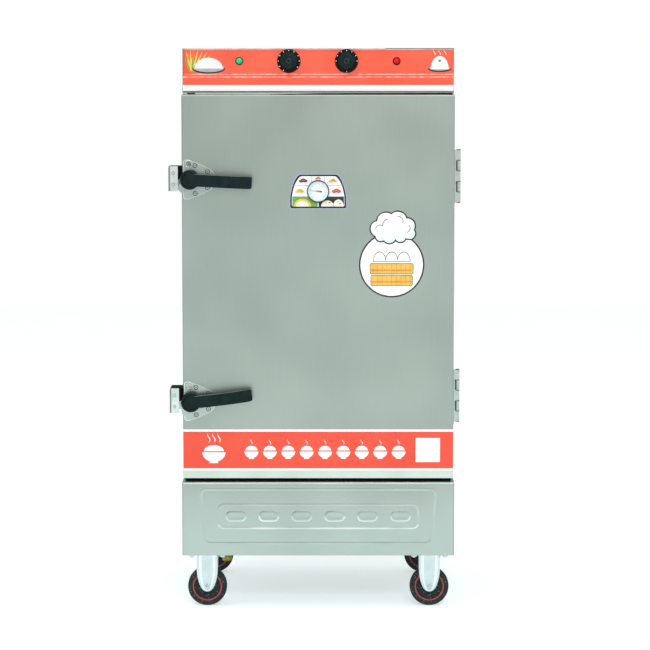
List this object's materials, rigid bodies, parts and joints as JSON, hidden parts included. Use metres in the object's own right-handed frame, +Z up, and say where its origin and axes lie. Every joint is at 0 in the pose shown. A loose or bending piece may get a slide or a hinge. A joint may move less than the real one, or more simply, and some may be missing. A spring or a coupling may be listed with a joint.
{
  "type": "rice steamer cabinet",
  "caption": "Upright stainless steamer cabinet with a hinged insulated door, cam latches, slide-in trays, a control panel and casters.",
  "frame": {"origin": "on the floor, under the middle of the cabinet's box, keepers and hinges included", "axes": "+X to the hinge side, -Y towards the door and the user, +Z up"},
  "size_m": [0.749, 0.655, 1.45],
  "materials": {
    "black_plastic": "satin",
    "black_rubber": "matte",
    "brass": "satin",
    "brushed_steel": "brushed",
    "dial_white": "gloss",
    "foam": "matte",
    "galvanised_steel": "satin",
    "green_lens": "gloss",
    "heater_sheath": "satin",
    "polished_steel": "polished",
    "red_film": "satin",
    "red_lens": "gloss",
    "white_silicone": "matte",
    "zinc_plate": "satin"
  },
  "bodies": {
    "cabinet": {"base_frame": "galvanised_steel", "caster_fork_front_left": "zinc_plate", "caster_fork_front_right": "zinc_plate", "caster_plate_rear_left": "zinc_plate", "caster_plate_rear_right": "zinc_plate", "control_panel": "red_film", "control_shelf": "galvanised_steel", "drain_valve": "brass", "float_valve": "brass", "front_frame": "brushed_steel", "heater_unit": "heater_sheath", "hinge_leaf_body_lower": "polished_steel", "hinge_leaf_body_upper": "polished_steel", "inner_liner": "brushed_steel", "keeper_lower": "polished_steel", "keeper_upper": "polished_steel", "lamp_green": "green_lens", "lamp_red": "red_lens", "outer_casing": "brushed_steel", "rack_left": "polished_steel", "rack_right": "polished_steel", "skirt_panel": "brushed_steel", "thermostat": "black_plastic", "timer": "black_plastic", "top_cover": "brushed_steel", "wall_insulation": "foam"},
    "door": {"door_outer_skin": "brushed_steel", "door_inner_pan": "brushed_steel", "door_insulation": "foam", "door_gasket": "white_silicone", "thermometer_case": "dial_white", "hinge_leaf_door_upper": "polished_steel", "hinge_leaf_door_lower": "polished_steel", "latch_base_upper": "polished_steel", "latch_base_lower": "polished_steel"},
    "upper_latch": {"latch_lever_upper": "black_plastic", "latch_cam_upper": "zinc_plate"},
    "lower_latch": {"latch_lever_lower": "black_plastic", "latch_cam_lower": "zinc_plate"},
    "needle": {"thermometer_needle": "black_plastic"},
    "thermostat_knob": {"knob_left": "black_plastic"},
    "timer_knob": {"knob_right": "black_plastic"},
    "front_left_wheel": {"wheel_front_left": "black_rubber"},
    "front_right_wheel": {"wheel_front_right": "black_rubber"},
    "rear_left_swivel": {"caster_fork_rear_left": "zinc_plate"},
    "rear_right_swivel": {"caster_fork_rear_right": "zinc_plate"},
    "rear_left_wheel": {"wheel_rear_left": "black_rubber"},
    "rear_right_wheel": {"wheel_rear_right": "black_rubber"},
    "float": {"float_arm": "brass"},
    "drain_handle": {"drain_lever": "polished_steel"},
    "rice_tray_01": {"tray_01": "polished_steel"},
    "rice_tray_02": {"tray_02": "polished_steel"},
    "rice_tray_03": {"tray_03": "polished_steel"},
    "rice_tray_04": {"tray_04": "polished_steel"},
    "rice_tray_05": {"tray_05": "polished_steel"},
    "rice_tray_06": {"tray_06": "polished_steel"},
    "rice_tray_07": {"tray_07": "polished_steel"},
    "rice_tray_08": {"tray_08": "polished_steel"},
    "rice_tray_09": {"tray_09": "polished_steel"},
    "rice_tray_10": {"tray_10": "polished_steel"}
  },
  "joints": [
    {"name": "door_hinge", "type": "hinge", "parent": "cabinet", "child": "door", "pos_m": [0.369, -0.2295, 0.837], "axis": [0, 0, 1], "range_deg": [0, 180]},
    {"name": "upper_latch_pivot", "type": "hinge", "parent": "door", "child": "upper_latch", "pos_m": [-0.3195, -0.2825, 1.115], "axis": [0, -1, 0], "range_deg": [-18, 80]},
    {"name": "lower_latch_pivot", "type": "hinge", "parent": "door", "child": "lower_latch", "pos_m": [-0.3195, -0.2825, 0.5445], "axis": [0, -1, 0], "range_deg": [-28, 70]},
    {"name": "thermometer_needle_turn", "type": "hinge", "parent": "door", "child": "needle", "pos_m": [0.0075, -0.2865, 1.085], "axis": [0, 1, 0], "range_deg": [-42, 228]},
    {"name": "thermostat_knob_turn", "type": "hinge", "parent": "cabinet", "child": "thermostat_knob", "pos_m": [-0.068, -0.2185, 1.417], "axis": [0, 1, 0], "range_deg": [0, 300]},
    {"name": "timer_knob_turn", "type": "hinge", "parent": "cabinet", "child": "timer_knob", "pos_m": [0.0805, -0.2185, 1.417], "axis": [0, 1, 0], "range_deg": [0, 300]},
    {"name": "front_left_wheel_spin", "type": "hinge", "parent": "cabinet", "child": "front_left_wheel", "pos_m": [-0.2825, -0.2245, 0.051], "axis": [0, 1, 0], "continuous": true},
    {"name": "rear_left_swivel_turn", "type": "hinge", "parent": "cabinet", "child": "rear_left_swivel", "pos_m": [-0.2505, 0.2255, 0.1387], "axis": [0, 0, 1], "continuous": true},
    {"name": "rear_left_wheel_spin", "type": "hinge", "parent": "rear_left_swivel", "child": "rear_left_wheel", "pos_m": [-0.2825, 0.2255, 0.051], "axis": [0, 1, 0], "continuous": true},
    {"name": "front_right_wheel_spin", "type": "hinge", "parent": "cabinet", "child": "front_right_wheel", "pos_m": [0.2975, -0.2245, 0.051], "axis": [0, 1, 0], "continuous": true},
    {"name": "rear_right_swivel_turn", "type": "hinge", "parent": "cabinet", "child": "rear_right_swivel", "pos_m": [0.2655, 0.2255, 0.1387], "axis": [0, 0, 1], "continuous": true},
    {"name": "rear_right_wheel_spin", "type": "hinge", "parent": "rear_right_swivel", "child": "rear_right_wheel", "pos_m": [0.2975, 0.2255, 0.051], "axis": [0, 1, 0], "continuous": true},
    {"name": "float_arm_swing", "type": "hinge", "parent": "cabinet", "child": "float", "pos_m": [-0.2625, 0.2337, 0.35], "axis": [0, -1, 0], "range_deg": [0, 35]},
    {"name": "drain_lever_turn", "type": "hinge", "parent": "cabinet", "child": "drain_handle", "pos_m": [-0.2135, -0.1345, 0.123], "axis": [-1, 0, 0], "range_deg": [0, 90]},
    {"name": "tray_01_slide", "type": "slide", "parent": "cabinet", "child": "rice_tray_01", "axis": [0, -1, 0], "range_m": [0, 0.025]},
    {"name": "tray_02_slide", "type": "slide", "parent": "cabinet", "child": "rice_tray_02", "axis": [0, -1, 0], "range_m": [0, 0.025]},
    {"name": "tray_03_slide", "type": "slide", "parent": "cabinet", "child": "rice_tray_03", "axis": [0, -1, 0], "range_m": [0, 0.025]},
    {"name": "tray_04_slide", "type": "slide", "parent": "cabinet", "child": "rice_tray_04", "axis": [0, -1, 0], "range_m": [0, 0.025]},
    {"name": "tray_05_slide", "type": "slide", "parent": "cabinet", "child": "rice_tray_05", "axis": [0, -1, 0], "range_m": [0, 0.025]},
    {"name": "tray_06_slide", "type": "slide", "parent": "cabinet", "child": "rice_tray_06", "axis": [0, -1, 0], "range_m": [0, 0.025]},
    {"name": "tray_07_slide", "type": "slide", "parent": "cabinet", "child": "rice_tray_07", "axis": [0, -1, 0], "range_m": [0, 0.025]},
    {"name": "tray_08_slide", "type": "slide", "parent": "cabinet", "child": "rice_tray_08", "axis": [0, -1, 0], "range_m": [0, 0.025]},
    {"name": "tray_09_slide", "type": "slide", "parent": "cabinet", "child": "rice_tray_09", "axis": [0, -1, 0], "range_m": [0, 0.025]},
    {"name": "tray_10_slide", "type": "slide", "parent": "cabinet", "child": "rice_tray_10", "axis": [0, -1, 0], "range_m": [0, 0.025]}
  ]
}
